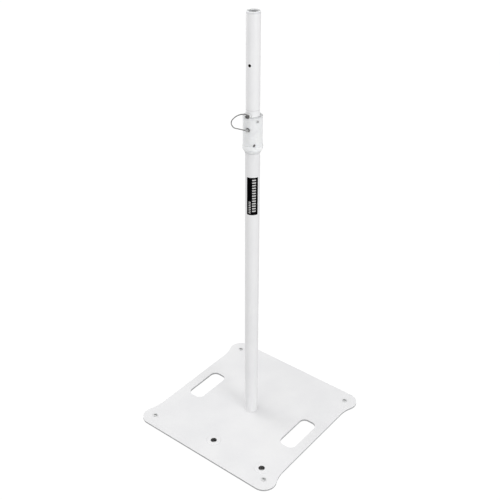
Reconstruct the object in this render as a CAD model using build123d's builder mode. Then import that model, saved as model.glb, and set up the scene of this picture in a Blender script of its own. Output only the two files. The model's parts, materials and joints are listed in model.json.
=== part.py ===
from build123d import *
import os
from math import acos, asin, cos, degrees, radians, sin

# A telescopic pole stand for a loudspeaker: a square steel base plate on rubber feet, a screw-in
# pole, a collar, and an inner pole held at its height by a spring-wire locking pin.
# Millimetres. Z = 0 is the floor, the pole's axis is X = Y = 0, the hand slots lie left and right
# of the pole, and the spare pole sockets are on the front side, which faces -Y.

# --- base plate ---
foot_height = 10.0
plate_thickness = 6.0
plate_width = 480.0
side_recess = 12.5  # how far the left and right edges step in between the corners
corner_radius = 36.0  # about each foot screw
step_radius = 96.0  # of the hollow arc that leads from each corner into the stepped-in edge
edge_round = 0.8
hand_slot_width = 50.0
hand_slot_length = 127.0
hand_slot_radius = 18.0
hand_slot_offset = 173.5
foot_offset = 204.0
socket_offset = 174.0

# --- threaded pole sockets, for an M20 stud ---
thread_radius = 8.65  # at the sockets' thread crests, which stand for the whole thread
thread_clearance = 0.05
socket_flange_radius = 20.5
socket_flange_thickness = 1.0
socket_body_radius = 14.0
socket_body_bottom = 3.0
socket_floor = 1.0  # the sockets are closed below, against floor dirt
weld_leg = 3.0

# --- feet and their screws ---
foot_radius = 16.0
foot_pocket_radius = 6.7
foot_pocket_depth = 6.0
washer_radius = 6.2
washer_thickness = 1.2
nut_thickness = 4.0
nut_across_flats = 10.0
foot_screw_radius = 2.95
foot_screw_hole = 3.3
foot_screw_end = 0.8
screw_head_radius = 6.0
screw_head_height = 3.4
recess_length = 6.2
recess_width = 1.4
recess_depth = 1.8

# --- outer pole ---
outer_radius = 19.05
outer_bore = 17.85
outer_top_above_plate = 925.0
foot_plug_height = 24.0
stud_bottom = 5.0
label_low_above_plate = 673.0
label_high_above_plate = 779.0
label_turn = 42.0  # where the label's middle faces, in degrees from the front towards +X
label_sweep = 100.0
label_thickness = 0.25

# --- inner pole ---
inner_radius = 17.5
inner_bore = 15.9
inner_top_above_plate = 1191.5
inner_bottom_above_plate = 381.0
hole_pitch = 158.0
holes_below_pin = 3
top_ring_height = 4.5
top_ring_spigot = 14.0
top_ring_bore = 14.8
mark_above_plate = 955.0  # a turned line that shows the height the pole is pinned at
mark_width = 0.8
mark_depth = 0.25
plug_spigot = 24.0
plug_radius = 17.2
plug_groove_radius = 15.3
plug_groove_above_plate = 364.0
plug_groove_height = 8.4
plug_bottom_above_plate = 359.0
rivet_radius = 2.0
guide_ring_radius = 17.75
guide_ring_bore = 15.4
guide_ring_height = 8.0
guide_ring_gap = 1.0

# --- collar ---
collar_radius = 24.7
collar_band_radius = 26.3
collar_rim_radius = 25.2
collar_bore = 19.1
collar_bottom_above_plate = 843.0
collar_cone_above_plate = 854.8
collar_band_above_plate = 861.5
collar_rim_above_plate = 934.5
collar_top_above_plate = 939.0
bush_bore = 17.6
bush_flange_radius = 23.4
bush_flange_thickness = 1.4
bush_flange_proud = 0.4
insert_turn = 46.5
insert_above_plate = 868.5
insert_length = 8.2
insert_width = 4.8
insert_tilt = 62.0
insert_inner = 20.0
insert_outer = 24.0
grub_radius = 1.9
grub_hex_radius = 1.1
grub_inner = 18.0
dimple_turn = 17.0  # a shallow moulded dimple beside the insert
dimple_length = 10.5
dimple_width = 6.0
dimple_depth = 0.9
rivet_turn = 66.5
rivet_above_plate = 930.0
collar_rivet_radius = 3.0
collar_rivet_proud = 0.9

# --- locking pin and its spring wire ---
pin_turn = 9.0  # where the pin and the pole's holes face
pin_above_plate = 908.5
pin_radius = 3.5
pin_hole_radius = 3.9
pin_sleeve_radius = 5.2
pin_sleeve_inner = 19.3
pin_sleeve_outer = 25.0
pin_tip = 17.8  # distance from the pole's axis with the pin drawn just clear of the inner pole
pin_head_inner = 27.2
pin_head_outer = 31.2
pin_head_radius = 3.6
pin_tip_chamfer = 0.7
wire_radius = 1.35
wire_hole_radius = 1.65
wire_reach = 29.2  # distance of the wire's lower leg from the pole's axis
wire_end_past_pin = 4.8
wire_bow_radius = 12.0
wire_back_radius = 50.0
wire_top_straight = 1.0
eye_reach = 26.7
eye_above_plate = 944.3
eye_radius = 4.6
eye_turn = 275.0
lug_inner = 19.6
lug_outer = 24.6
lug_width = 11.0
lug_top_above_plate = 948.5
anchor_thread_radius = 1.9
anchor_thread_inner = 19.3
anchor_shoulder_radius = 3.1
anchor_head_inner = 28.8
anchor_head_outer = 31.0
anchor_head_radius = 4.0

fit_gap = 0.05  # clearance between pieces that are pressed, screwed or bonded together

plate_bottom = foot_height
plate_top = foot_height + plate_thickness
flange_top = plate_top + socket_flange_thickness
pin_height = plate_top + pin_above_plate
inner_top = plate_top + inner_top_above_plate
inner_bottom = plate_top + inner_bottom_above_plate
collar_top = plate_top + collar_top_above_plate
outer_top = plate_top + outer_top_above_plate

sockets = {
    "pole_socket_centre": (0, 0),
    "pole_socket_front": (0, -socket_offset),
    "pole_socket_corner": (socket_offset, -socket_offset),
}
corners = {
    "front_left": (-foot_offset, -foot_offset),
    "front_right": (foot_offset, -foot_offset),
    "back_left": (-foot_offset, foot_offset),
    "back_right": (foot_offset, foot_offset),
}

os.makedirs("parts", exist_ok=True)


def facing(turn):
    """The level direction that points away from the pole, turned from the front towards +X."""
    return Vector(sin(radians(turn)), -cos(radians(turn)), 0)


def wall_plane(turn, reach, height):
    """A plane that stands against the pole, facing outwards, with its own y pointing up."""
    outward = facing(turn)
    return Plane(
        origin=outward * reach + Vector(0, 0, height),
        x_dir=(-outward.Y, outward.X, 0),
        z_dir=outward,
    )


def half_plane(turn):
    """The upright plane through the pole's axis whose x points away from the axis."""
    outward = facing(turn)
    return Plane(origin=(0, 0, 0), x_dir=outward, z_dir=(outward.Y, -outward.X, 0))


def save(piece, name):
    """Labels a finished piece and writes it as one STEP file."""
    piece.part.label = name
    export_step(piece.part, f"parts/{name}.step")


# --- base plate: a plate with stepped-in sides, two hand slots and seven holes ---
half = plate_width / 2
waist = half - side_recess
ear_turn = degrees(acos((waist - foot_offset + step_radius) / (corner_radius + step_radius)))
with BuildPart() as base_plate:
    with BuildSketch(Plane.XY.offset(plate_bottom)):
        with BuildLine():
            front = Line((0, -half), (foot_offset, -half))
            ear = JernArc(start=front @ 1, tangent=front % 1, radius=corner_radius, arc_size=90 + ear_turn)
            step = JernArc(start=ear @ 1, tangent=ear % 1, radius=step_radius, arc_size=-ear_turn)
            Line(step @ 1, (waist, 0))
            mirror(about=Plane.XZ)
            mirror(about=Plane.YZ)
        make_face()
        with GridLocations(2 * hand_slot_offset, 0, 2, 1):
            RectangleRounded(hand_slot_width, hand_slot_length, hand_slot_radius, mode=Mode.SUBTRACT)
        with GridLocations(2 * foot_offset, 2 * foot_offset, 2, 2):
            Circle(foot_screw_hole, mode=Mode.SUBTRACT)
        with Locations(*sockets.values()):
            Circle(socket_body_radius + fit_gap, mode=Mode.SUBTRACT)
    extrude(amount=plate_thickness)
    fillet(base_plate.faces().sort_by(Axis.Z)[-1].outer_wire().edges(), edge_round)
    fillet(base_plate.faces().sort_by(Axis.Z)[0].outer_wire().edges(), edge_round)
save(base_plate, "base_plate")

# --- pole sockets: flanged bushings let in from above, with a threaded bore ---
for name, place in sockets.items():
    with BuildPart() as pole_socket:
        with BuildSketch(Plane.XY.offset(plate_top)):
            with Locations(place):
                Circle(socket_flange_radius)
        extrude(amount=socket_flange_thickness)
        fillet(pole_socket.edges().sort_by(Axis.Z)[-1], socket_flange_thickness * 0.6)
        with BuildSketch(Plane.XY.offset(socket_body_bottom)):
            with Locations(place):
                Circle(socket_body_radius)
        extrude(amount=plate_top - socket_body_bottom)
        with BuildSketch(Plane.XY.offset(flange_top)):
            with Locations(place):
                Circle(thread_radius)
        extrude(amount=socket_body_bottom + socket_floor - flange_top, mode=Mode.SUBTRACT)
    save(pole_socket, name)

# --- the fillet welds that hold the sockets under the plate ---
with BuildPart() as socket_welds:
    for x, y in sockets.values():
        with BuildSketch(Plane.XZ.offset(-y)):
            with BuildLine():
                Polyline(
                    (x + socket_body_radius + fit_gap, plate_bottom),
                    (x + socket_body_radius + weld_leg, plate_bottom),
                    (x + socket_body_radius + fit_gap, plate_bottom - weld_leg),
                    close=True,
                )
            make_face()
        revolve(axis=Axis((x, y, 0), (0, 0, 1)))
save(socket_welds, "socket_welds")

# --- feet: turned rubber pads, each with a pocket for its nut and washer ---
for name, place in corners.items():
    with BuildPart() as rubber_foot:
        with BuildSketch(Plane.XY):
            with Locations(place):
                Circle(foot_radius)
        extrude(amount=foot_height)
        fillet(rubber_foot.edges().sort_by(Axis.Z)[0], 1.5)
        with BuildSketch(Plane.XY):
            with Locations(place):
                Circle(foot_pocket_radius)
        extrude(amount=foot_pocket_depth, mode=Mode.SUBTRACT)
        with BuildSketch(Plane.XY):
            with Locations(place):
                Circle(foot_screw_hole)
        extrude(amount=foot_height, mode=Mode.SUBTRACT)
    save(rubber_foot, f"rubber_foot_{name}")

# --- foot screws: domed heads on top of the plate, with a cross recess ---
for name, place in corners.items():
    with BuildPart() as foot_screw:
        with BuildSketch(Plane.XY.offset(foot_screw_end)):
            with Locations(place):
                Circle(foot_screw_radius)
        extrude(amount=plate_top - foot_screw_end)
        with BuildSketch(Plane.XY.offset(plate_top)):
            with Locations(place):
                Circle(screw_head_radius)
        extrude(amount=screw_head_height)
        fillet(foot_screw.edges().sort_by(Axis.Z)[-1], screw_head_height * 0.7)
        with BuildSketch(Plane.XY.offset(plate_top + screw_head_height)):
            with Locations(place):
                Rectangle(recess_length, recess_width)
                Rectangle(recess_width, recess_length)
        extrude(amount=-recess_depth, mode=Mode.SUBTRACT)
    save(foot_screw, f"foot_screw_{name}")

washer_bottom = foot_pocket_depth - washer_thickness
with BuildPart() as foot_washers:
    with BuildSketch(Plane.XY.offset(washer_bottom)):
        with Locations(*corners.values()):
            Circle(washer_radius)
            Circle(foot_screw_hole, mode=Mode.SUBTRACT)
    extrude(amount=washer_thickness)
save(foot_washers, "foot_washers")

with BuildPart() as foot_nuts:
    with BuildSketch(Plane.XY.offset(washer_bottom - nut_thickness)):
        with Locations(*corners.values()):
            RegularPolygon(nut_across_flats / 2, 6, major_radius=False)
            Circle(foot_screw_radius + fit_gap, mode=Mode.SUBTRACT)
    extrude(amount=nut_thickness)
save(foot_nuts, "foot_nuts")

# --- outer pole: a steel tube that stands on the centre socket's flange ---
with BuildPart() as outer_pole:
    with BuildSketch(Plane.XY.offset(flange_top)):
        Circle(outer_radius)
        Circle(outer_bore, mode=Mode.SUBTRACT)
    extrude(amount=outer_top - flange_top)
    with BuildSketch(wall_plane(pin_turn, inner_bore, pin_height)):
        Circle(pin_hole_radius)
    extrude(amount=outer_radius - inner_bore + 1, mode=Mode.SUBTRACT)
    with BuildSketch(wall_plane(insert_turn, outer_bore - 1, plate_top + insert_above_plate)):
        Circle(grub_radius + fit_gap)
    extrude(amount=3, mode=Mode.SUBTRACT)
    with BuildSketch(wall_plane(insert_turn + 180, outer_bore - 1, plate_top + insert_above_plate)):
        Circle(grub_radius + fit_gap)
    extrude(amount=3, mode=Mode.SUBTRACT)
save(outer_pole, "outer_pole")

# --- the steel plug welded into the pole's foot, and the M20 stud screwed into it ---
plug_top = flange_top + foot_plug_height
with BuildPart() as pole_foot_plug:
    with BuildSketch(Plane.XY.offset(flange_top)):
        Circle(outer_bore - fit_gap)
        Circle(thread_radius, mode=Mode.SUBTRACT)
    extrude(amount=foot_plug_height)
save(pole_foot_plug, "pole_foot_plug")

with BuildPart() as pole_stud:
    with BuildSketch(Plane.XY.offset(stud_bottom)):
        Circle(thread_radius - thread_clearance)
    extrude(amount=plug_top - stud_bottom)
    chamfer(pole_stud.edges().sort_by(Axis.Z)[0], 1.2)
save(pole_stud, "pole_stud")

# --- label: a thin film wrapped part of the way round the outer pole ---
with BuildPart() as pole_label:
    with BuildSketch(half_plane(label_turn - label_sweep / 2)):
        with BuildLine():
            Polyline(
                (outer_radius + 0.02, plate_top + label_low_above_plate),
                (outer_radius + 0.02 + label_thickness, plate_top + label_low_above_plate),
                (outer_radius + 0.02 + label_thickness, plate_top + label_high_above_plate),
                (outer_radius + 0.02, plate_top + label_high_above_plate),
                close=True,
            )
        make_face()
    revolve(axis=Axis.Z, revolution_arc=label_sweep)
save(pole_label, "pole_label")

# --- collar: a turned sleeve over the pole's top, with a lug for the wire ---
with BuildPart() as collar:
    with BuildSketch(Plane.XZ):
        with BuildLine():
            Polyline(
                (collar_bore, plate_top + collar_bottom_above_plate),
                (collar_bore + 0.6, plate_top + collar_bottom_above_plate),
                (collar_band_radius, plate_top + collar_cone_above_plate),
                (collar_band_radius, plate_top + collar_band_above_plate),
                (collar_radius, plate_top + collar_band_above_plate + 1.4),
                (collar_radius, plate_top + collar_rim_above_plate - 1.0),
                (collar_rim_radius, plate_top + collar_rim_above_plate),
                (collar_rim_radius, collar_top - 0.6),
                (collar_rim_radius - 0.6, collar_top),
                (bush_flange_radius + fit_gap, collar_top),
                (bush_flange_radius + fit_gap, collar_top - bush_flange_thickness + bush_flange_proud),
                (collar_bore, collar_top - bush_flange_thickness + bush_flange_proud),
                close=True,
            )
        make_face()
    revolve(axis=Axis.Z)
    with BuildSketch(wall_plane(pin_turn, lug_inner, 0)):
        with BuildLine():
            Polyline(
                (-lug_width / 2, collar_top - 4),
                (lug_width / 2, collar_top - 4),
                (lug_width / 2, plate_top + lug_top_above_plate),
                (-lug_width / 2, plate_top + lug_top_above_plate),
                close=True,
            )
        make_face()
    extrude(amount=lug_outer - lug_inner)
    fillet(collar.edges().group_by(Axis.Z)[-1].filter_by(lambda e: e.length < lug_width - 1), 4.0)
    with BuildSketch(wall_plane(pin_turn, lug_inner - 2, plate_top + eye_above_plate)):
        Circle(anchor_thread_radius + fit_gap)
    extrude(amount=lug_outer - lug_inner + 4, mode=Mode.SUBTRACT)
    with BuildSketch(wall_plane(pin_turn, inner_bore, pin_height)):
        Circle(pin_sleeve_radius + fit_gap)
    extrude(amount=collar_radius - inner_bore + 1, mode=Mode.SUBTRACT)
    for turn in (insert_turn, insert_turn + 180):
        with BuildSketch(wall_plane(turn, insert_inner - fit_gap, plate_top + insert_above_plate)):
            SlotOverall(insert_length + 2 * fit_gap, insert_width + 2 * fit_gap, rotation=insert_tilt)
        extrude(amount=collar_band_radius - insert_inner + 1, mode=Mode.SUBTRACT)
        with BuildSketch(wall_plane(turn, collar_bore - 1, plate_top + insert_above_plate)):
            Circle(grub_radius + fit_gap)
        extrude(amount=insert_inner - collar_bore + 2, mode=Mode.SUBTRACT)
    with BuildSketch(wall_plane(rivet_turn, collar_bore - 1, plate_top + rivet_above_plate)):
        Circle(rivet_radius + fit_gap)
    extrude(amount=collar_radius - collar_bore + 2, mode=Mode.SUBTRACT)
    with BuildSketch(wall_plane(dimple_turn, collar_radius - dimple_depth, plate_top + insert_above_plate)):
        SlotOverall(dimple_length, dimple_width, rotation=90)
    extrude(amount=2 * dimple_depth, mode=Mode.SUBTRACT)
save(collar, "collar")

# --- the nylon bush in the collar's mouth, which guides the inner pole ---
with BuildPart() as collar_bush:
    with BuildSketch(Plane.XZ):
        with BuildLine():
            Polyline(
                (bush_bore, outer_top),
                (collar_bore - fit_gap, outer_top),
                (collar_bore - fit_gap, collar_top - bush_flange_thickness + bush_flange_proud),
                (bush_flange_radius, collar_top - bush_flange_thickness + bush_flange_proud),
                (bush_flange_radius, collar_top + bush_flange_proud - 0.3),
                (bush_flange_radius - 0.3, collar_top + bush_flange_proud),
                (bush_bore, collar_top + bush_flange_proud),
                close=True,
            )
        make_face()
    revolve(axis=Axis.Z)
    with BuildSketch(wall_plane(pin_turn, lug_inner - 0.2, collar_top)):
        Rectangle(lug_width + 0.4, 4)
    extrude(amount=lug_outer, mode=Mode.SUBTRACT)
save(collar_bush, "collar_bush")

# --- the steel sleeve in the collar's wall, which the locking pin slides in ---
with BuildPart() as pin_sleeve:
    with BuildSketch(wall_plane(pin_turn, pin_sleeve_inner, pin_height)):
        Circle(pin_sleeve_radius)
        Circle(pin_hole_radius, mode=Mode.SUBTRACT)
    extrude(amount=pin_sleeve_outer - pin_sleeve_inner)
save(pin_sleeve, "pin_sleeve")

# --- the steel inserts in the collar's wall, and the grub screws that lock it to the pole ---
with BuildPart() as collar_inserts:
    for turn in (insert_turn, insert_turn + 180):
        with BuildSketch(wall_plane(turn, insert_inner, plate_top + insert_above_plate)):
            SlotOverall(insert_length, insert_width, rotation=insert_tilt)
            Circle(grub_radius + fit_gap, mode=Mode.SUBTRACT)
        extrude(amount=insert_outer - insert_inner)
save(collar_inserts, "collar_inserts")

with BuildPart() as grub_screws:
    for turn in (insert_turn, insert_turn + 180):
        with BuildSketch(wall_plane(turn, grub_inner, plate_top + insert_above_plate)):
            Circle(grub_radius)
        extrude(amount=insert_outer - 0.5 - grub_inner)
        with BuildSketch(wall_plane(turn, insert_outer - 0.5, plate_top + insert_above_plate)):
            RegularPolygon(grub_hex_radius, 6)
        extrude(amount=-2, mode=Mode.SUBTRACT)
save(grub_screws, "grub_screws")

with BuildPart() as collar_rivet:
    with BuildSketch(wall_plane(rivet_turn, outer_radius + 0.1, plate_top + rivet_above_plate)):
        Circle(rivet_radius)
    extrude(amount=collar_radius - outer_radius)
    with BuildSketch(wall_plane(rivet_turn, collar_radius + 0.05, plate_top + rivet_above_plate)):
        Circle(collar_rivet_radius)
    extrude(amount=collar_rivet_proud)
save(collar_rivet, "collar_rivet")

# --- the shoulder screw that holds the wire's eye against the collar's lug ---
with BuildPart() as wire_anchor_screw:
    with BuildSketch(wall_plane(pin_turn, anchor_thread_inner, plate_top + eye_above_plate)):
        Circle(anchor_thread_radius)
    extrude(amount=lug_outer - anchor_thread_inner)
    with BuildSketch(wall_plane(pin_turn, lug_outer, plate_top + eye_above_plate)):
        Circle(anchor_shoulder_radius)
    extrude(amount=anchor_head_inner - lug_outer)
    with BuildSketch(wall_plane(pin_turn, anchor_head_inner, plate_top + eye_above_plate)):
        Circle(anchor_head_radius)
    extrude(amount=anchor_head_outer - anchor_head_inner)
    with BuildSketch(wall_plane(pin_turn, anchor_head_outer, plate_top + eye_above_plate)):
        Rectangle(recess_length, recess_width)
        Rectangle(recess_width, recess_length)
    extrude(amount=-recess_depth, mode=Mode.SUBTRACT)
save(wire_anchor_screw, "wire_anchor_screw")

# --- inner pole: a steel tube drilled right through at each height ---
top_ring_bottom = inner_top - top_ring_height
with BuildPart() as inner_pole:
    with BuildSketch(Plane.XY.offset(inner_bottom)):
        Circle(inner_radius)
        Circle(inner_bore, mode=Mode.SUBTRACT)
    extrude(amount=top_ring_bottom - inner_bottom)
    with BuildSketch(Plane.XY.offset(plate_top + mark_above_plate)):
        Circle(inner_radius + 1)
        Circle(inner_radius - mark_depth, mode=Mode.SUBTRACT)
    extrude(amount=mark_width, mode=Mode.SUBTRACT)
    for step in range(-1, holes_below_pin + 1):
        with BuildSketch(wall_plane(pin_turn, 0, pin_height - step * hole_pitch)):
            Circle(pin_hole_radius)
        extrude(amount=outer_radius, both=True, mode=Mode.SUBTRACT)
    with BuildSketch(wall_plane(pin_turn + 90, 0, inner_bottom + plug_spigot / 2)):
        Circle(rivet_radius + fit_gap)
    extrude(amount=outer_radius, both=True, mode=Mode.SUBTRACT)
save(inner_pole, "inner_pole")

# --- the ring pressed into the inner pole's open top, which the loudspeaker's socket goes over ---
with BuildPart() as pole_top_ring:
    with BuildSketch(Plane.XZ):
        with BuildLine():
            Polyline(
                (top_ring_bore, top_ring_bottom - top_ring_spigot),
                (inner_bore - fit_gap, top_ring_bottom - top_ring_spigot),
                (inner_bore - fit_gap, top_ring_bottom),
                (inner_radius, top_ring_bottom),
                (inner_radius, inner_top - 0.8),
                (inner_radius - 0.8, inner_top),
                (top_ring_bore + 0.8, inner_top),
                (top_ring_bore, inner_top - 0.8),
                close=True,
            )
        make_face()
    revolve(axis=Axis.Z)
save(pole_top_ring, "pole_top_ring")

# --- the nylon plug in the inner pole's foot, grooved for its guide ring ---
plug_bottom = plate_top + plug_bottom_above_plate
groove_bottom = plate_top + plug_groove_above_plate
with BuildPart() as inner_pole_plug:
    with BuildSketch(Plane.XY.offset(plug_bottom)):
        Circle(plug_radius)
    extrude(amount=inner_bottom - plug_bottom)
    with BuildSketch(Plane.XY.offset(groove_bottom)):
        Circle(plug_radius + 1)
        Circle(plug_groove_radius, mode=Mode.SUBTRACT)
    extrude(amount=plug_groove_height, mode=Mode.SUBTRACT)
    with BuildSketch(Plane.XY.offset(inner_bottom)):
        Circle(inner_bore - fit_gap)
    extrude(amount=plug_spigot)
    with BuildSketch(Plane.XY.offset(plug_bottom)):
        Circle(inner_bore / 2)
    extrude(amount=inner_bottom - plug_bottom + plug_spigot, mode=Mode.SUBTRACT)
    with BuildSketch(wall_plane(pin_turn + 90, 0, inner_bottom + plug_spigot / 2)):
        Circle(rivet_radius + fit_gap)
    extrude(amount=outer_radius, both=True, mode=Mode.SUBTRACT)
save(inner_pole_plug, "inner_pole_plug")

with BuildPart() as plug_rivets:
    for turn in (pin_turn + 90, pin_turn - 90):
        with BuildSketch(wall_plane(turn, inner_bore / 2, inner_bottom + plug_spigot / 2)):
            Circle(rivet_radius)
        extrude(amount=inner_radius - 0.3 - inner_bore / 2)
save(plug_rivets, "plug_rivets")

# --- the split nylon ring that slides in the outer pole, free to turn in the plug's groove ---
guide_ring_bottom = groove_bottom + (plug_groove_height - guide_ring_height) / 2
with BuildPart() as guide_ring:
    with BuildSketch(Plane.XY.offset(guide_ring_bottom)):
        Circle(guide_ring_radius)
        Circle(guide_ring_bore, mode=Mode.SUBTRACT)
        with Locations((0, guide_ring_radius)):
            Rectangle(guide_ring_gap, guide_ring_radius, mode=Mode.SUBTRACT)
    extrude(amount=guide_ring_height)
save(guide_ring, "guide_ring")

# --- locking pin: a turned steel pin, cross-drilled through its head for the wire ---
with BuildPart() as locking_pin:
    with BuildSketch(wall_plane(pin_turn, pin_tip, pin_height)):
        Circle(pin_radius)
    extrude(amount=pin_head_inner - pin_tip)
    chamfer(locking_pin.edges().sort_by(lambda e: e.center().dot(facing(pin_turn)))[0], pin_tip_chamfer)
    with BuildSketch(wall_plane(pin_turn, pin_head_inner, pin_height)):
        Circle(pin_head_radius)
    extrude(amount=pin_head_outer - pin_head_inner)
    fillet(locking_pin.edges().sort_by(lambda e: e.center().dot(facing(pin_turn)))[-1], 1.0)
    with BuildSketch(wall_plane(pin_turn + 90, -pin_head_radius - 2, pin_height)):
        with Locations((-wire_reach, 0)):
            Circle(wire_hole_radius)
    extrude(amount=2 * pin_head_radius + 4, mode=Mode.SUBTRACT)
save(locking_pin, "locking_pin")

# --- the spring wire: through the pin's head, round in a bow, and back to an eye on the collar ---
wire_foot = facing(pin_turn) * wire_reach + Vector(0, 0, pin_height)
wire_eye = facing(pin_turn) * eye_reach + Vector(0, 0, plate_top + eye_above_plate)
wire_up = (wire_eye - wire_foot).normalized()
wire_right = Vector(cos(radians(pin_turn)), sin(radians(pin_turn)), 0)
wire_plane = Plane(origin=wire_foot, x_dir=wire_right, z_dir=wire_right.cross(wire_up))
eye_height = (wire_eye - wire_foot).length
wire_top = eye_height + eye_radius
centre_gap = wire_back_radius - wire_bow_radius
bow_lean = asin((wire_bow_radius + wire_back_radius - wire_top) / centre_gap)
bow_start = -wire_top_straight - centre_gap * cos(bow_lean)
bow_turn = 90 + degrees(bow_lean)
with BuildPart() as pin_wire:
    with BuildLine(wire_plane) as wire_route:
        lower_leg = Line((wire_end_past_pin, 0), (bow_start, 0))
        bow = JernArc(start=lower_leg @ 1, tangent=lower_leg % 1, radius=wire_bow_radius, arc_size=-bow_turn)
        back = JernArc(start=bow @ 1, tangent=bow % 1, radius=wire_back_radius, arc_size=bow_turn - 180)
        upper_leg = Line(back @ 1, (0, wire_top))
        JernArc(start=upper_leg @ 1, tangent=upper_leg % 1, radius=eye_radius, arc_size=-eye_turn)
    with BuildSketch(Plane(origin=wire_route.wire() @ 0, z_dir=wire_route.wire() % 0)):
        Circle(wire_radius)
    sweep(path=wire_route.wire())
save(pin_wire, "pin_wire")
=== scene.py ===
import json
from math import asin, ceil, cos, degrees, pi, radians, sin, sqrt

import bmesh
import bpy
from mathutils import Matrix, Vector


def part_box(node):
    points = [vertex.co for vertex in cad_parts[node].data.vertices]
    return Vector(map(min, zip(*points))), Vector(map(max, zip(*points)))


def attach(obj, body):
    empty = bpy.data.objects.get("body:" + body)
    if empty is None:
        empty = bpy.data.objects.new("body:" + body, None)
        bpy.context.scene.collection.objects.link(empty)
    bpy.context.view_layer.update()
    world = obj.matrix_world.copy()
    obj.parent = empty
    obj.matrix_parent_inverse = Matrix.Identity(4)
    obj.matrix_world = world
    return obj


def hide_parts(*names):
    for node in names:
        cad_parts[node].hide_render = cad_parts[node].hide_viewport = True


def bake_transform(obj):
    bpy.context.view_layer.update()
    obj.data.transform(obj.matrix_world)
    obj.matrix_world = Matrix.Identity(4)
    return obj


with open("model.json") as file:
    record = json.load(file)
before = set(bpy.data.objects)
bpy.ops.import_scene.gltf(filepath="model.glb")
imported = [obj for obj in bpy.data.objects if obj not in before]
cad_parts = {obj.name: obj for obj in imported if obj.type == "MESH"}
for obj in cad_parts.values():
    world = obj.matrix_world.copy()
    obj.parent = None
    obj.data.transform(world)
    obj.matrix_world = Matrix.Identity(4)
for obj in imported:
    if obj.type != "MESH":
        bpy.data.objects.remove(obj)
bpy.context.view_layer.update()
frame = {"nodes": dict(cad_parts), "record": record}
scene = bpy.context.scene

MM = 0.001

# --- camera: from the front right and above ---
CAMERA_PLACE = Vector((1.1347, -1.4542, 1.6732))
CAMERA_TARGET = Vector((-0.0043, -0.0033, 0.5731))
CAMERA_LENS = 57.82
CAMERA_ROLL = 0.0045
SENSOR_WIDTH = 36
CLIP_END = 100

# --- places, from the CAD nodes ---
PLATE_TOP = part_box("base_plate")[1][2]
PIN_HEIGHT = PLATE_TOP + 908.5 * MM
EYE_HEIGHT = PLATE_TOP + 944.3 * MM
PIN_TURN = 9
LABEL_TURN = 38.4
OUTER_RADIUS = 19.05 * MM


def facing(turn):
    """The level direction that points away from the pole, turned from the front towards +X, in degrees."""
    return Vector((sin(radians(turn)), -cos(radians(turn)), 0))


def add_camera():
    """Aims the camera at a point close to the pole."""
    camera = bpy.data.objects.new("camera", bpy.data.cameras.new("camera"))
    scene.collection.objects.link(camera)
    aim = (CAMERA_TARGET - CAMERA_PLACE).to_track_quat("-Z", "Y").to_matrix().to_4x4()
    camera.matrix_world = Matrix.Translation(CAMERA_PLACE) @ aim @ Matrix.Rotation(CAMERA_ROLL, 4, "Z")
    camera.data.lens = CAMERA_LENS
    camera.data.sensor_width = SENSOR_WIDTH
    camera.data.clip_end = CLIP_END
    scene.camera = camera


# --- light and floor ---
WORLD_STRENGTH = 0.64
STAGE_REACH = 14
STAGE_STEPS = 96
STAGE_GLOW = 0.99
AREA_LIGHTS = (
    # name, place, target, size in metres, watts
    ("light_right", (2.9, -0.6, 1.4), (0, 0, 0.5), 1.4, 34),
    ("light_left", (-2.8, -0.3, 1.2), (0, 0, 0.6), 1.3, 18),
    ("light_front", (0.0, -3.0, 1.5), (0, 0, 0.45), 1.5, 9),
    ("light_above", (-0.5, -0.3, 3.3), (-0.1, -0.1, 0), 1.5, 21),
)


def add_area_light(name, place, target, size, watts):
    """A soft square light at place, which faces target."""
    light = bpy.data.objects.new(name, bpy.data.lights.new(name, "AREA"))
    scene.collection.objects.link(light)
    light.data.shape = "SQUARE"
    light.data.size = size
    light.data.energy = watts
    light.location = place
    light.rotation_euler = (Vector(target) - Vector(place)).to_track_quat("-Z", "Y").to_euler()


def add_world():
    """Even white light from all round."""
    world = bpy.data.worlds.new("studio")
    world.use_nodes = True
    world.node_tree.nodes["Background"].inputs["Color"].default_value = (1, 1, 1, 1)
    world.node_tree.nodes["Background"].inputs["Strength"].default_value = WORLD_STRENGTH
    scene.world = world


def add_stage():
    """A round white floor with a wall round it.

    They glow of their own, but don't light the object, shade it or mirror in it.
    """
    angles = [2 * pi * i / STAGE_STEPS for i in range(STAGE_STEPS)]
    rim = [(STAGE_REACH * cos(a), STAGE_REACH * sin(a)) for a in angles]
    vertices = [(x, y, 0) for x, y in rim] + [(x, y, STAGE_REACH) for x, y in rim]
    faces = [tuple(range(STAGE_STEPS))]
    for i in range(STAGE_STEPS):
        after = (i + 1) % STAGE_STEPS
        faces.append((i, after, STAGE_STEPS + after, STAGE_STEPS + i))
    mesh = bpy.data.meshes.new("floor")
    mesh.from_pydata(vertices, [], faces)
    floor = bpy.data.objects.new("floor", mesh)
    scene.collection.objects.link(floor)
    material = bpy.data.materials.new("floor")
    material.use_nodes = True
    shader = material.node_tree.nodes["Principled BSDF"]
    shader.inputs["Base Color"].default_value = (0.02, 0.02, 0.02, 1)
    shader.inputs["Roughness"].default_value = 0.9
    shader.inputs["Emission Color"].default_value = (1, 1, 1, 1)
    shader.inputs["Emission Strength"].default_value = STAGE_GLOW
    mesh.materials.append(material)
    floor.visible_diffuse = False
    floor.visible_glossy = False
    floor.visible_shadow = False


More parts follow.
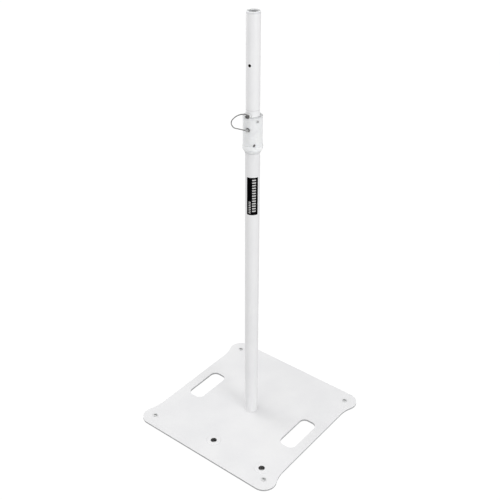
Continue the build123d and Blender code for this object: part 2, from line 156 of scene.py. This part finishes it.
# --- materials ---
class Paint:
    """A small helper that adds nodes to one material and links them to its Principled shader."""

    def __init__(self, name, roughness, metallic=0.0, specular=0.5, coat=0.0, coat_roughness=0.1):
        self.material = bpy.data.materials.new(name)
        self.material.use_nodes = True
        self.tree = self.material.node_tree
        self.shader = self.tree.nodes["Principled BSDF"]
        self.shader.inputs["Roughness"].default_value = roughness
        self.shader.inputs["Metallic"].default_value = metallic
        self.shader.inputs["Specular IOR Level"].default_value = specular
        self.shader.inputs["Coat Weight"].default_value = coat
        self.shader.inputs["Coat Roughness"].default_value = coat_roughness
        source = self.node("ShaderNodeTexCoord")
        self.place = source.outputs["Object"]
        self.facing = source.outputs["Normal"]

    def node(self, kind, **values):
        """Adds a node. A value named after an input sets that input, and any other sets a property."""
        node = self.tree.nodes.new(kind)
        for key, value in values.items():
            if key in node.inputs:
                node.inputs[key].default_value = value
            else:
                setattr(node, key, value)
        return node

    def link(self, output, target):
        self.tree.links.new(output, target)

    def noise(self, scale, detail=4.0, stretch=(1, 1, 1), distortion=0.0):
        """Noise with about scale lumps to the metre."""
        mapping = self.node("ShaderNodeMapping")
        mapping.inputs["Scale"].default_value = stretch
        self.link(self.place, mapping.inputs["Vector"])
        noise = self.node("ShaderNodeTexNoise", Scale=scale, Detail=detail, Distortion=distortion)
        self.link(mapping.outputs["Vector"], noise.inputs["Vector"])
        return noise.outputs["Fac"]

    def spread(self, value, low, high, from_low=0.0, from_high=1.0):
        """Maps a value's range onto low to high."""
        node = self.node("ShaderNodeMapRange")
        node.inputs["From Min"].default_value = from_low
        node.inputs["From Max"].default_value = from_high
        node.inputs["To Min"].default_value = low
        node.inputs["To Max"].default_value = high
        self.link(value, node.inputs["Value"])
        return node.outputs["Result"]

    def mix(self, share, first, second):
        """Mixes two colours, each a tuple or a node's output, by share."""
        node = self.node("ShaderNodeMix", data_type="RGBA")
        self.link(share, node.inputs["Factor"])
        for colour, socket in ((first, node.inputs[6]), (second, node.inputs[7])):
            if isinstance(colour, tuple):
                socket.default_value = (*colour, 1)
            else:
                self.link(colour, socket)
        return node.outputs[2]

    def crevices(self, distance):
        """1 in the open and less where another surface is within distance; the coats use it as a mask for
        painted shade.
        """
        return self.node("ShaderNodeAmbientOcclusion", Distance=distance, samples=4).outputs["AO"]

    def uprightness(self):
        """0 on a level face and 1 on an upright one."""
        axes = self.node("ShaderNodeSeparateXYZ")
        self.link(self.facing, axes.inputs["Vector"])
        level = self.node("ShaderNodeMath", operation="ABSOLUTE")
        self.link(axes.outputs["Z"], level.inputs[0])
        return self.spread(level.outputs["Value"], 1, 0, 0.25, 0.6)

    def reach(self):
        """The distance from the pole's axis, in metres."""
        flat = self.node("ShaderNodeVectorMath", operation="MULTIPLY")
        self.link(self.place, flat.inputs[0])
        flat.inputs[1].default_value = (1, 1, 0)
        length = self.node("ShaderNodeVectorMath", operation="LENGTH")
        self.link(flat.outputs["Vector"], length.inputs[0])
        return length.outputs["Value"]

    def bumps(self, *layers):
        """Stacks bump layers, each (height, strength, distance in metres)."""
        normal = None
        for height, strength, distance in layers:
            bump = self.node("ShaderNodeBump", Strength=strength, Distance=distance)
            self.link(height, bump.inputs["Height"])
            if normal:
                self.link(normal, bump.inputs["Normal"])
            normal = bump.outputs["Normal"]
        self.link(normal, self.shader.inputs["Normal"])

    def colour(self, output):
        self.link(output, self.shader.inputs["Base Color"])

    def roughness(self, output):
        self.link(output, self.shader.inputs["Roughness"])


def powder_coat(name="powder_coat", shaded_sides=False, bore=None):
    """White powder coat: orange peel, fine flecks, thin and thick places, and painted shade in the corners.

    The sides option paints every upright face a streaky darker grey, as painted shade. Inside bore, a radius,
    the steel is bare and dark, and so it is in every drilled hole.
    """
    paint = Paint(name, 0.42, specular=0.45, coat=0.5, coat_roughness=0.25)
    thick = paint.spread(paint.noise(9, 3), 0, 1, 0.35, 0.65)
    body = paint.mix(thick, (0.80, 0.80, 0.81), (0.84, 0.84, 0.845))
    flecks = paint.spread(paint.noise(2600, 2), 0, 1, 0.70, 0.78)
    body = paint.mix(flecks, body, (0.72, 0.72, 0.73))
    # Painted shade: a darker grey mixed in where another surface is near, in corners and crevices.
    dust_and_shade = paint.spread(paint.crevices(6 * MM), 0.16, 0.0, 0.45, 0.95)
    body = paint.mix(dust_and_shade, body, (0.55, 0.54, 0.53))
    # Painted shade: every upright face, such as the plate's edges, is painted a streaky darker grey.
    if shaded_sides:
        streaks = paint.spread(paint.noise(500, 3, stretch=(1, 1, 0.2)), 0, 1, 0.35, 0.65)
        side_shade = paint.mix(streaks, (0.36, 0.36, 0.37), (0.46, 0.46, 0.47))
        body = paint.mix(paint.uprightness(), body, side_shade)
    if bore:
        scale = paint.spread(paint.noise(300, 4), 0, 1, 0.35, 0.65)
        bare = paint.mix(scale, (0.030, 0.029, 0.028), (0.075, 0.072, 0.070))
        body = paint.mix(paint.spread(paint.reach(), 0, 1, bore, bore + 0.3 * MM), bare, body)
    paint.colour(body)
    paint.roughness(paint.spread(paint.noise(40, 5), 0.36, 0.50, 0.3, 0.7))
    peel = (paint.noise(650, 2), 0.35, 0.09 * MM)
    grain = (paint.noise(2600, 2), 0.2, 0.02 * MM)
    paint.bumps(peel, grain)
    return paint.material


def white_nylon():
    """Satin moulded nylon: a fine spark-eroded grain, faint flow marks round the part and painted shade in
    its corners.
    """
    paint = Paint("white_nylon", 0.48, specular=0.4)
    paint.shader.inputs["Subsurface Weight"].default_value = 0.7
    paint.shader.inputs["Subsurface Radius"].default_value = (1, 1, 0.95)
    paint.shader.inputs["Subsurface Scale"].default_value = 12 * MM
    flow = paint.spread(paint.noise(60, 4, stretch=(1, 1, 6)), 0, 1, 0.35, 0.65)
    body = paint.mix(flow, (0.85, 0.865, 0.87), (0.88, 0.895, 0.895))
    # Painted shade: a grey mixed in where another surface is near, in the collar's corners.
    dust_and_shade = paint.spread(paint.crevices(5 * MM), 0.22, 0.0, 0.4, 0.95)
    paint.colour(paint.mix(dust_and_shade, body, (0.5, 0.5, 0.5)))
    paint.roughness(paint.spread(paint.noise(120, 4), 0.42, 0.56, 0.3, 0.7))
    grain = (paint.noise(3200, 3), 0.3, 0.03 * MM)
    waves = (paint.noise(300, 2, stretch=(1, 1, 4)), 0.2, 0.05 * MM)
    paint.bumps(grain, waves)
    return paint.material


def grey_nylon():
    """Matt grey nylon with a fine grain, worn a little paler in upright streaks."""
    paint = Paint("grey_nylon", 0.6, specular=0.35)
    cloud = paint.spread(paint.noise(180, 4), 0, 1, 0.35, 0.65)
    body = paint.mix(cloud, (0.40, 0.40, 0.41), (0.47, 0.47, 0.475))
    scuffs = paint.spread(paint.noise(900, 3, stretch=(1, 1, 0.1)), 0, 0.5, 0.6, 0.72)
    paint.colour(paint.mix(scuffs, body, (0.58, 0.58, 0.58)))
    paint.roughness(paint.spread(cloud, 0.52, 0.68))
    paint.bumps((paint.noise(2800, 3), 0.3, 0.03 * MM))
    return paint.material


def black_steel(name, dark, pale):
    """Black oxide on steel, brown-tinged and rubbed to grey in spots."""
    paint = Paint(name, 0.4, metallic=0.6, specular=0.5)
    tinge = paint.spread(paint.noise(400, 4), 0, 1, 0.35, 0.65)
    body = paint.mix(tinge, (dark, dark, dark * 1.03), (pale, pale * 0.97, pale * 0.94))
    rubbed = paint.spread(paint.noise(1400, 3), 0, 0.5, 0.64, 0.74)
    paint.colour(paint.mix(rubbed, body, (0.30, 0.30, 0.30)))
    paint.roughness(paint.spread(paint.noise(900, 3), 0.32, 0.55, 0.3, 0.7))
    paint.bumps((paint.noise(2200, 3), 0.35, 0.03 * MM))
    return paint.material


def zinc_steel():
    """Turned steel with bright zinc plate: fine tool rings and cloudy passivation."""
    paint = Paint("zinc_steel", 0.28, metallic=1.0)
    cloud = paint.spread(paint.noise(260, 4), 0, 1, 0.3, 0.7)
    body = paint.mix(cloud, (0.50, 0.51, 0.53), (0.66, 0.66, 0.64))
    spots = paint.spread(paint.noise(1500, 3), 0, 0.6, 0.66, 0.76)
    paint.colour(paint.mix(spots, body, (0.30, 0.29, 0.28)))
    paint.roughness(paint.spread(paint.noise(1100, 3, stretch=(1, 1, 5)), 0.20, 0.42, 0.3, 0.7))
    paint.bumps((paint.noise(1800, 2, stretch=(0.2, 0.2, 3)), 0.25, 0.02 * MM))
    return paint.material


def spring_steel():
    """Drawn wire: fine lengthwise draw marks and a dull grey-brown oil film."""
    paint = Paint("spring_steel", 0.32, metallic=1.0)
    film = paint.spread(paint.noise(220, 4), 0, 1, 0.35, 0.65)
    body = paint.mix(film, (0.21, 0.21, 0.215), (0.32, 0.315, 0.305))
    marks = paint.spread(paint.noise(2400, 2), 0, 0.5, 0.6, 0.72)
    paint.colour(paint.mix(marks, body, (0.20, 0.195, 0.19)))
    paint.roughness(paint.spread(paint.noise(1200, 3), 0.24, 0.42, 0.3, 0.7))
    paint.bumps((paint.noise(3000, 2), 0.25, 0.015 * MM))
    return paint.material


def label_film():
    """Black printed film: a matt laminate with a fine grain, dulled by handling."""
    paint = Paint("label_film", 0.6, specular=0.0)
    cloud = paint.spread(paint.noise(160, 4), 0, 1, 0.35, 0.65)
    body = paint.mix(cloud, (0.0012, 0.0012, 0.0014), (0.003, 0.003, 0.0034))
    dust_and_shade = paint.spread(paint.noise(2500, 2), 0, 0.3, 0.72, 0.80)
    paint.colour(paint.mix(dust_and_shade, body, (0.025, 0.025, 0.025)))
    paint.roughness(paint.spread(paint.noise(90, 4), 0.52, 0.68, 0.3, 0.7))
    paint.bumps((paint.noise(3400, 2), 0.2, 0.01 * MM))
    return paint.material


def label_ink():
    """Pale grey screen-printed ink with a slightly uneven edge-to-edge density."""
    paint = Paint("label_ink", 0.5, specular=0.4)
    dense = paint.spread(paint.noise(1200, 3), 0, 1, 0.3, 0.7)
    paint.colour(paint.mix(dense, (0.52, 0.52, 0.52), (0.68, 0.68, 0.67)))
    paint.roughness(paint.spread(dense, 0.44, 0.58))
    paint.bumps((paint.noise(2600, 2), 0.25, 0.01 * MM))
    return paint.material


def rubber():
    """Matt black rubber with a moulded grain and pale specks of floor dust."""
    paint = Paint("rubber", 0.8, specular=0.3)
    bloom = paint.spread(paint.noise(120, 4), 0, 1, 0.35, 0.65)
    body = paint.mix(bloom, (0.018, 0.018, 0.018), (0.034, 0.033, 0.032))
    specks = paint.spread(paint.noise(1600, 3), 0, 0.7, 0.62, 0.74)
    paint.colour(paint.mix(specks, body, (0.13, 0.125, 0.12)))
    paint.roughness(paint.spread(bloom, 0.72, 0.9))
    paint.bumps((paint.noise(1900, 3), 0.5, 0.05 * MM))
    return paint.material


MATERIALS = {
    "powder_coat": powder_coat(),
    "white_nylon": white_nylon(),
    "grey_nylon": grey_nylon(),
    "black_steel": black_steel("black_steel", 0.17, 0.26),
    "zinc_steel": zinc_steel(),
    "spring_steel": spring_steel(),
    "label_film": label_film(),
    "rubber": rubber(),
}
COATED = {
    "base_plate": powder_coat("plate_coat", shaded_sides=True),
    "outer_pole": powder_coat("outer_pole_coat", bore=18.7 * MM),
    "inner_pole": powder_coat("inner_pole_coat", bore=17.0 * MM),
}
INK = label_ink()
# A darker copy of the black steel for the socket threads: painted shade inside the socket's bore.
SHADED_THREAD_STEEL = black_steel("shaded_thread_steel", 0.07, 0.12)


def paint_cad_nodes():
    """Gives every CAD node its own coat, or else the material of the slot that the record states for it."""
    slots = {part["node"]: part["material_slot"] for part in frame["record"]["subparts"]}
    for name, node in frame["nodes"].items():
        for material_slot in node.material_slots:
            material_slot.link = "OBJECT"
            material_slot.material = COATED.get(name, MATERIALS[slots[name]])


# --- mesh helpers ---
WELD_DISTANCE = 1e-7
SHARP_ANGLE = 40


def add_piece(name, vertices, faces, body, slot, replaces=(), material=None, blended=None):
    """Makes a mesh piece in the row frame, tidies it, gives it its material and lets it ride on a body.

    A blended piece is baked where it stands instead of riding on a body; of blended, ((still, moving), start,
    end), only whether it is given is used.
    """
    mesh = bpy.data.meshes.new(name)
    mesh.from_pydata([tuple(v) for v in vertices], [], faces)
    work = bmesh.new()
    work.from_mesh(mesh)
    bmesh.ops.remove_doubles(work, verts=work.verts, dist=WELD_DISTANCE)
    bmesh.ops.recalc_face_normals(work, faces=work.faces)
    work.to_mesh(mesh)
    work.free()
    mesh.materials.append(material or MATERIALS[slot])
    piece = bpy.data.objects.new(name, mesh)
    scene.collection.objects.link(piece)
    mesh.shade_smooth()
    mesh.set_sharp_from_angle(angle=radians(SHARP_ANGLE))
    if blended:
        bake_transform(piece)
    else:
        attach(piece, body)
    if replaces:
        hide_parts(*replaces)


def turned(profile_at, centre, steps, closed):
    """Turns a profile about an upright axis. profile_at gives its (radius, height) points at an angle.

    A closed profile makes a ring, and an open one begins and ends on the axis.
    """
    vertices = []
    faces = []
    for i in range(steps):
        angle = 2 * pi * i / steps
        points = profile_at(angle)
        for radius, height in points:
            vertices.append((centre[0] + radius * cos(angle), centre[1] + radius * sin(angle), height))
        count = len(points)
        after = (i + 1) % steps
        for j in range(count if closed else count - 1):
            k = (j + 1) % count
            faces.append((i * count + j, after * count + j, after * count + k, i * count + k))
    return vertices, faces


def tube(path, radius, sides=20):
    """A round bar along a path of points, with slightly rounded ends."""
    rings = []
    side = (path[1] - path[0]).cross(Vector((0.31, 0.73, 0.61))).normalized()
    for i, point in enumerate(path):
        ahead = (path[min(i + 1, len(path) - 1)] - path[max(i - 1, 0)]).normalized()
        side = (side - ahead * side.dot(ahead)).normalized()
        rings.append((point, radius, side.copy(), ahead.cross(side)))
    crown = radius * 0.3
    for index, way in ((0, -1), (-1, 1)):
        point, _, side, other = rings[index]
        ahead = side.cross(other) * way
        cap = (point, radius, side, other)
        tip = (point + ahead * crown, radius * 0.7, side, other)
        rings = [tip, cap] + rings[1:] if index == 0 else rings[:-1] + [cap, tip]
    vertices = []
    faces = []
    for i, (point, size, side, other) in enumerate(rings):
        for j in range(sides):
            angle = 2 * pi * j / sides
            vertices.append(point + side * (size * cos(angle)) + other * (size * sin(angle)))
        if i:
            for j in range(sides):
                k = (j + 1) % sides
                faces.append(((i - 1) * sides + j, (i - 1) * sides + k, i * sides + k, i * sides + j))
    faces.append(tuple(range(sides))[::-1])
    faces.append(tuple(len(vertices) - sides + j for j in range(sides)))
    return vertices, faces


def film(middle_turn, middle_height, width, height, corner, inner, outer, columns=24):
    """A patch with rounded corners that lies round the pole, given by its unrolled width and its height."""
    rows = [-height / 2 + corner * (1 - cos(radians(a))) for a in range(0, 90, 15)]
    rows += [-v for v in rows[::-1]]
    vertices = []
    for radius in (inner, outer):
        for row in rows:
            past = max(0.0, abs(row) - (height / 2 - corner))
            half = width / 2 - corner + sqrt(max(0.0, corner**2 - past**2))
            for i in range(columns + 1):
                along = half * (2 * i / columns - 1)
                outward = facing(middle_turn + degrees(along / outer))
                vertices.append(outward * radius + Vector((0, 0, middle_height + row)))
    line = columns + 1
    layer = line * len(rows)
    faces = []
    for j in range(len(rows) - 1):
        for i in range(columns):
            a = j * line + i
            faces.append((a, a + line, a + line + 1, a + 1))
            faces.append((layer + a, layer + a + 1, layer + a + line + 1, layer + a + line))
    rim = list(range(line))
    rim += [j * line + columns for j in range(1, len(rows))]
    rim += [(len(rows) - 1) * line + i for i in range(columns - 1, -1, -1)]
    rim += [j * line for j in range(len(rows) - 2, 0, -1)]
    for i, a in enumerate(rim):
        b = rim[(i + 1) % len(rim)]
        faces.append((a, b, layer + b, layer + a))
    return vertices, faces


def middle_of(node):
    """The middle of a CAD node's box, seen from above."""
    low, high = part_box(node)
    return (low[0] + high[0]) / 2, (low[1] + high[1]) / 2


def joined(*shapes):
    """Several (vertices, faces) shapes as one."""
    vertices = []
    faces = []
    for points, polygons in shapes:
        start = len(vertices)
        vertices += list(points)
        faces += [tuple(start + i for i in polygon) for polygon in polygons]
    return vertices, faces


# --- spare pole sockets: a coated flange, and the M20 thread inside it ---
SOCKET_BOTTOM = 3 * MM
SOCKET_FLOOR = 1 * MM
FLANGE_TOP = PLATE_TOP + 1 * MM
FLANGE_RADIUS = 20.5 * MM
SOCKET_RADIUS = 14 * MM
LIP_RADIUS = 8.9 * MM
LIP_HEIGHT = 1.1 * MM
LIP_EASE = 0.35 * MM
FLANGE_ROUND = 0.6 * MM
SOCKET_EASE = 0.5 * MM
LINER_RADIUS = 10.8 * MM
THREAD_CREST = 8.65 * MM
THREAD_ROOT = 10.0 * MM
THREAD_PITCH = 2.5 * MM
ROWS_PER_PITCH = 8
SHELL_STEPS = 96
THREAD_STEPS = 72


def socket_shell(angle):
    """From the middle of the closed bottom up the bore, over the flange's rounded rim and down the body.

    It is the same at every angle.
    """
    floor_top = SOCKET_BOTTOM + SOCKET_FLOOR
    lip_bottom = FLANGE_TOP - LIP_HEIGHT
    bore = [(0, floor_top), (LINER_RADIUS, floor_top), (LINER_RADIUS, lip_bottom)]
    lip = [
        (LIP_RADIUS, lip_bottom),
        (LIP_RADIUS, FLANGE_TOP - LIP_EASE),
        (LIP_RADIUS + LIP_EASE, FLANGE_TOP),
    ]
    rim = []
    for i in range(6):
        a = radians(18 * i)
        rim.append((FLANGE_RADIUS - FLANGE_ROUND * (1 - cos(a)), FLANGE_TOP - FLANGE_ROUND * (1 - sin(a))))
    body = [
        (FLANGE_RADIUS, PLATE_TOP),
        (SOCKET_RADIUS, PLATE_TOP),
        (SOCKET_RADIUS, SOCKET_BOTTOM + SOCKET_EASE),
        (SOCKET_RADIUS - SOCKET_EASE, SOCKET_BOTTOM),
        (0, SOCKET_BOTTOM),
    ]
    return bore + lip + rim[::-1] + body


def socket_thread(angle):
    """The liner, whose bore is a right-handed thread: one crest and one root to each pitch."""
    low = SOCKET_BOTTOM + SOCKET_FLOOR
    high = FLANGE_TOP - LIP_HEIGHT
    rows = ceil((high - low) / THREAD_PITCH * ROWS_PER_PITCH)
    wall = [(LINER_RADIUS, high), (LINER_RADIUS, low)]
    for i in range(rows + 1):
        height = low + (high - low) * i / rows
        part = (height / THREAD_PITCH - angle / (2 * pi)) % 1
        depth = min(1, max(0, 1.25 * abs(2 * part - 1) - 0.125))
        wall.append((THREAD_CREST + (THREAD_ROOT - THREAD_CREST) * depth, height))
    return wall


def add_sockets():
    """Both spare sockets, each with its shell and its threaded liner."""
    for place in ("front", "corner"):
        node = f"pole_socket_{place}"
        centre = middle_of(node)
        shell = turned(socket_shell, centre, SHELL_STEPS, closed=False)
        add_piece(f"socket_shell_{place}", *shell, "stand", "powder_coat", [node])
        thread = turned(socket_thread, centre, THREAD_STEPS, closed=True)
        # The thread takes the darker copy of the black steel, as painted shade.
        add_piece(f"socket_thread_{place}", *thread, "stand", "black_steel", material=SHADED_THREAD_STEEL)


# --- foot screws: a domed head with a tapered cross recess, and a plain shank ---
HEAD_RADIUS = 6.0 * MM
HEAD_HEIGHT = 3.4 * MM
SHANK_RADIUS = 2.95 * MM
SHANK_END = 0.8 * MM
RECESS_REACH = 3.4 * MM
RECESS_HALF_WIDTH = 0.75 * MM
RECESS_DEPTH = 2.0 * MM
RECESS_END_SLOPE = 1.6 * MM
RECESS_SIDE_SLOPE = 0.3 * MM
HEAD_SHOULDER = 1.1 * MM
HEAD_FULLNESS = 2.6
SHANK_EASE = 0.5 * MM
HEAD_RINGS = 22
SCREW_STEPS = 96


def recess(x, y):
    """The depth of the cross recess at a point of the head, with sloping walls and ends."""
    depth = 0.0
    for along, across in ((abs(x), abs(y)), (abs(y), abs(x))):
        end = (RECESS_REACH - along) / RECESS_END_SLOPE
        side = (RECESS_HALF_WIDTH - across) / RECESS_SIDE_SLOPE
        depth = max(depth, min(1, end, side))
    return RECESS_DEPTH * max(0.0, depth)


def foot_screw(angle):
    """From the middle of the recess over the dome, under the head and down the shank."""
    points = []
    for i in range(HEAD_RINGS + 1):
        radius = HEAD_RADIUS * sin(radians(90 * i / HEAD_RINGS))
        fall = sqrt(max(0.0, 1 - (radius / HEAD_RADIUS) ** HEAD_FULLNESS))
        dome = HEAD_SHOULDER + (HEAD_HEIGHT - HEAD_SHOULDER) * fall
        points.append((radius, PLATE_TOP + dome - recess(radius * cos(angle), radius * sin(angle))))
    points += [(HEAD_RADIUS, PLATE_TOP), (SHANK_RADIUS, PLATE_TOP)]
    points += [(SHANK_RADIUS, SHANK_END + SHANK_EASE), (SHANK_RADIUS - SHANK_EASE, SHANK_END), (0, SHANK_END)]
    return points


def add_foot_screws():
    """The four cross-recessed screws that hold the feet."""
    for place in ("front_left", "front_right", "back_left", "back_right"):
        node = f"foot_screw_{place}"
        shape = turned(foot_screw, middle_of(node), SCREW_STEPS, closed=False)
        add_piece(f"cross_screw_{place}", *shape, "stand", "zinc_steel", [node])


# --- label: the film and its generic level-meter marks ---
LABEL_WIDTH = 30.9 * MM
LABEL_CORNER = 1.6 * MM
FILM_GAP = 0.02 * MM
FILM_FACE = 0.24 * MM
INK_SUNK = 0.02 * MM
INK_PROUD = 0.025 * MM
INK_CORNER = 0.7 * MM
INK_COLUMNS = 10
METER_BARS = 13
METER_ALONG = 4.2 * MM
METER_BAR = (9.8 * MM, 3.4 * MM)
METER_PITCH = 7.3 * MM
METER_MARGIN = 7 * MM
RULE_MARKS = 7
RULE_ALONG = -7.2 * MM
RULE_BAR = (5.6 * MM, 2.4 * MM)
RULE_PITCH = -5.1 * MM
RULE_MARGIN = 6.5 * MM


def add_label():
    """The film, and on it a column of bars from the top down and a short one from the bottom up."""
    low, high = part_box("pole_label")
    middle = (low[2] + high[2]) / 2
    height = high[2] - low[2]
    inner = OUTER_RADIUS + FILM_GAP
    outer = OUTER_RADIUS + FILM_FACE
    shape = film(LABEL_TURN, middle, LABEL_WIDTH, height, LABEL_CORNER, inner, outer)
    add_piece("label_film", *shape, "stand", "label_film", replaces=["pole_label"])
    marks = []
    for along, count, bar, first, pitch in (
        (METER_ALONG, METER_BARS, METER_BAR, height / 2 - METER_MARGIN, METER_PITCH),
        (RULE_ALONG, RULE_MARKS, RULE_BAR, -height / 2 + RULE_MARGIN, RULE_PITCH),
    ):
        for i in range(count):
            turn = LABEL_TURN + degrees(along / outer)
            place = middle + first - i * pitch
            faces_at = (outer - INK_SUNK, outer + INK_PROUD)
            marks.append(film(turn, place, *bar, INK_CORNER, *faces_at, columns=INK_COLUMNS))
    add_piece("label_marks", *joined(*marks), "stand", "label_film", material=INK)


# --- spring wire: through the pin's head, round in a bow and back to an eye on the collar ---
WIRE_RADIUS = 1.35 * MM
WIRE_REACH = 29.2 * MM
WIRE_END_PAST_PIN = 4.8 * MM
WIRE_BOW_RADIUS = 12 * MM
WIRE_BACK_RADIUS = 50 * MM
WIRE_TOP_STRAIGHT = 1 * MM
EYE_REACH = 26.7 * MM
EYE_RADIUS = 4.6 * MM
EYE_TURN = 275
WIRE_STEP = 0.6 * MM
BEND_FIXED_ABOVE_PIN = 26 * MM
BEND_FREE_ABOVE_PIN = 4 * MM


def wire_path():
    """The wire's middle line, as points: straights and arcs in one plane that leans towards the pole."""
    foot = facing(PIN_TURN) * WIRE_REACH + Vector((0, 0, PIN_HEIGHT))
    eye = facing(PIN_TURN) * EYE_REACH + Vector((0, 0, EYE_HEIGHT))
    up = (eye - foot).normalized()
    right = Vector((cos(radians(PIN_TURN)), sin(radians(PIN_TURN)), 0))
    top = (eye - foot).length + EYE_RADIUS
    centre_gap = WIRE_BACK_RADIUS - WIRE_BOW_RADIUS
    lean = asin((WIRE_BOW_RADIUS + WIRE_BACK_RADIUS - top) / centre_gap)
    bow_start = WIRE_TOP_STRAIGHT + centre_gap * cos(lean)
    turn = 90 + degrees(lean)
    flat = [(WIRE_END_PAST_PIN, 0.0)]
    heading = 180.0
    runs = (
        (bow_start + WIRE_END_PAST_PIN, None),
        (None, (WIRE_BOW_RADIUS, turn)),
        (None, (WIRE_BACK_RADIUS, 180 - turn)),
        (WIRE_TOP_STRAIGHT, None),
        (None, (EYE_RADIUS, EYE_TURN)),
    )
    for length, arc in runs:
        radius, swept = arc or (1, 0)
        length = length or radius * radians(swept)
        steps = ceil(length / WIRE_STEP)
        for i in range(steps):
            middle = radians(heading - swept * (i + 0.5) / steps)
            chord = 2 * radius * sin(radians(swept) / steps / 2) if arc else length / steps
            flat.append((flat[-1][0] + chord * cos(middle), flat[-1][1] + chord * sin(middle)))
        heading -= swept
    return [foot + right * x + up * y for x, y in flat]


def add_wire():
    """The wire, from the pin's head to its eye on the collar, as one piece baked where it rests."""
    shape = tube(wire_path(), WIRE_RADIUS)
    fixed = Vector((0, 0, PIN_HEIGHT + BEND_FIXED_ABOVE_PIN))
    free = Vector((0, 0, PIN_HEIGHT + BEND_FREE_ABOVE_PIN))
    add_piece("wire_bow", *shape, None, "spring_steel", ["pin_wire"], blended=(("stand", "pin"), fixed, free))


add_camera()
scene.view_settings.view_transform = "Standard"
add_world()
add_stage()
for area_light in AREA_LIGHTS:
    add_area_light(*area_light)
paint_cad_nodes()
add_sockets()
add_foot_screws()
add_label()
add_wire()
